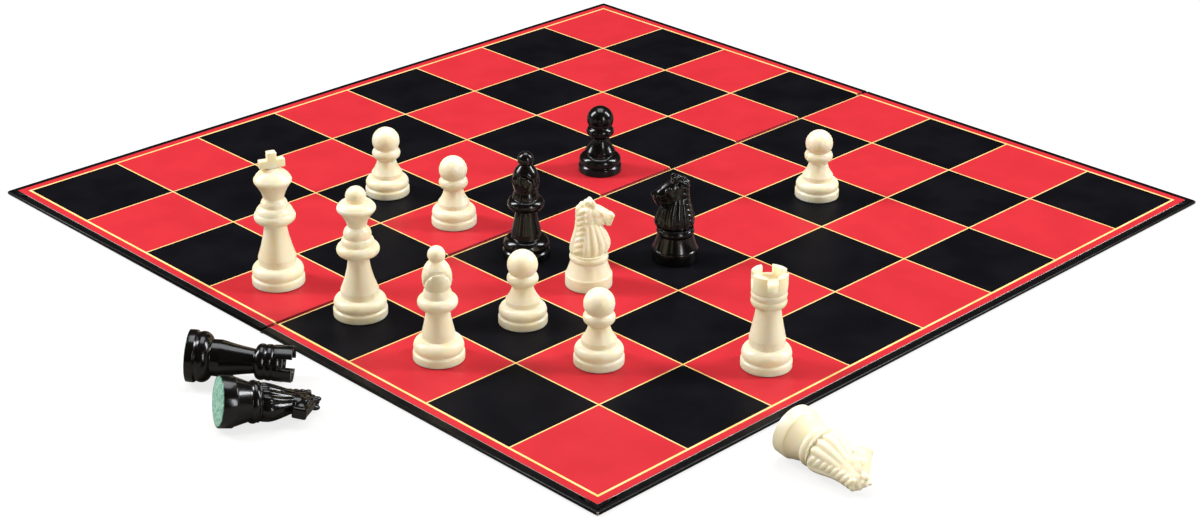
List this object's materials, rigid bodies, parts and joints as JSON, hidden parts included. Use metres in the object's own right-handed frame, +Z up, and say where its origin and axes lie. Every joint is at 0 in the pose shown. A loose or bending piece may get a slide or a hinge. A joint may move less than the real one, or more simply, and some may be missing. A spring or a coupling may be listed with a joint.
{
  "type": "folding chess set",
  "caption": "Chess set: a thin folding board of red and black squares in two hinged halves, with ivory and black felt-based men standing on it and lying beside it.",
  "frame": {"origin": "middle of the board, on the table plane under the fold", "axes": "+Z up from the table, Y along the fold, +X across the fold to the near half"},
  "size_m": [0.4593, 0.4634, 0.0635],
  "materials": {
    "greyboard": "matt",
    "black_wrap": "gloss",
    "red_print": "satin",
    "black_print": "satin",
    "ivory_plastic": "polished",
    "black_plastic": "polished",
    "green_felt": "felt"
  },
  "bodies": {
    "near_half": {"near_core": "greyboard", "near_wrap": "black_wrap", "near_sheet": "red_print", "near_black_squares": "black_print", "fold_hinge": "black_wrap"},
    "far_half": {"far_core": "greyboard", "far_wrap": "black_wrap", "far_sheet": "red_print", "far_black_squares": "black_print"},
    "ivory_king": {"ivory_king": "ivory_plastic", "ivory_king_felt": "green_felt"},
    "ivory_queen": {"ivory_queen": "ivory_plastic", "ivory_queen_felt": "green_felt"},
    "ivory_bishop": {"ivory_bishop": "ivory_plastic", "ivory_bishop_felt": "green_felt"},
    "ivory_knight": {"ivory_knight": "ivory_plastic", "ivory_knight_felt": "green_felt"},
    "ivory_rook": {"ivory_rook": "ivory_plastic", "ivory_rook_felt": "green_felt"},
    "ivory_pawn_1": {"ivory_pawn_1": "ivory_plastic", "ivory_pawn_1_felt": "green_felt"},
    "ivory_pawn_2": {"ivory_pawn_2": "ivory_plastic", "ivory_pawn_2_felt": "green_felt"},
    "ivory_pawn_3": {"ivory_pawn_3": "ivory_plastic", "ivory_pawn_3_felt": "green_felt"},
    "ivory_pawn_4": {"ivory_pawn_4": "ivory_plastic", "ivory_pawn_4_felt": "green_felt"},
    "ivory_pawn_5": {"ivory_pawn_5": "ivory_plastic", "ivory_pawn_5_felt": "green_felt"},
    "ivory_knight_lying": {"ivory_knight_lying": "ivory_plastic", "ivory_knight_lying_felt": "green_felt"},
    "black_pawn": {"black_pawn": "black_plastic", "black_pawn_felt": "green_felt"},
    "black_bishop": {"black_bishop": "black_plastic", "black_bishop_felt": "green_felt"},
    "black_knight": {"black_knight": "black_plastic", "black_knight_felt": "green_felt"},
    "black_rook": {"black_rook": "black_plastic", "black_rook_felt": "green_felt"},
    "black_knight_lying": {"black_knight_lying": "black_plastic", "black_knight_lying_felt": "green_felt"}
  },
  "joints": [
    {"name": "board_fold", "type": "hinge", "parent": "near_half", "child": "far_half", "pos_m": [0, 0, -0.00015], "axis": [0, -1, 0], "range_deg": [0, 180], "deforming": ["fold_hinge"]},
    {"name": "ivory_king_lift", "type": "slide", "parent": "far_half", "child": "ivory_king", "axis": [0, 0, 1], "range_m": [0, 0.1]},
    {"name": "ivory_queen_lift", "type": "slide", "parent": "near_half", "child": "ivory_queen", "axis": [0, 0, 1], "range_m": [0, 0.1]},
    {"name": "ivory_bishop_lift", "type": "slide", "parent": "near_half", "child": "ivory_bishop", "axis": [0, 0, 1], "range_m": [0, 0.1]},
    {"name": "ivory_knight_lift", "type": "slide", "parent": "near_half", "child": "ivory_knight", "axis": [0, 0, 1], "range_m": [0, 0.1]},
    {"name": "ivory_rook_lift", "type": "slide", "parent": "near_half", "child": "ivory_rook", "axis": [0, 0, 1], "range_m": [0, 0.1]},
    {"name": "ivory_pawn_1_lift", "type": "slide", "parent": "far_half", "child": "ivory_pawn_1", "axis": [0, 0, 1], "range_m": [0, 0.1]},
    {"name": "ivory_pawn_2_lift", "type": "slide", "parent": "far_half", "child": "ivory_pawn_2", "axis": [0, 0, 1], "range_m": [0, 0.1]},
    {"name": "ivory_pawn_3_lift", "type": "slide", "parent": "near_half", "child": "ivory_pawn_3", "axis": [0, 0, 1], "range_m": [0, 0.1]},
    {"name": "ivory_pawn_4_lift", "type": "slide", "parent": "near_half", "child": "ivory_pawn_4", "axis": [0, 0, 1], "range_m": [0, 0.1]},
    {"name": "ivory_pawn_5_lift", "type": "slide", "parent": "near_half", "child": "ivory_pawn_5", "axis": [0, 0, 1], "range_m": [0, 0.1]},
    {"name": "ivory_knight_lying_lift", "type": "slide", "parent": "near_half", "child": "ivory_knight_lying", "axis": [0, 0, 1], "range_m": [0, 0.1]},
    {"name": "black_pawn_lift", "type": "slide", "parent": "far_half", "child": "black_pawn", "axis": [0, 0, 1], "range_m": [0, 0.1]},
    {"name": "black_bishop_lift", "type": "slide", "parent": "near_half", "child": "black_bishop", "axis": [0, 0, 1], "range_m": [0, 0.1]},
    {"name": "black_knight_lift", "type": "slide", "parent": "near_half", "child": "black_knight", "axis": [0, 0, 1], "range_m": [0, 0.1]},
    {"name": "black_rook_lift", "type": "slide", "parent": "near_half", "child": "black_rook", "axis": [0, 0, 1], "range_m": [0, 0.1]},
    {"name": "black_knight_lying_lift", "type": "slide", "parent": "near_half", "child": "black_knight_lying", "axis": [0, 0, 1], "range_m": [0, 0.1]}
  ]
}
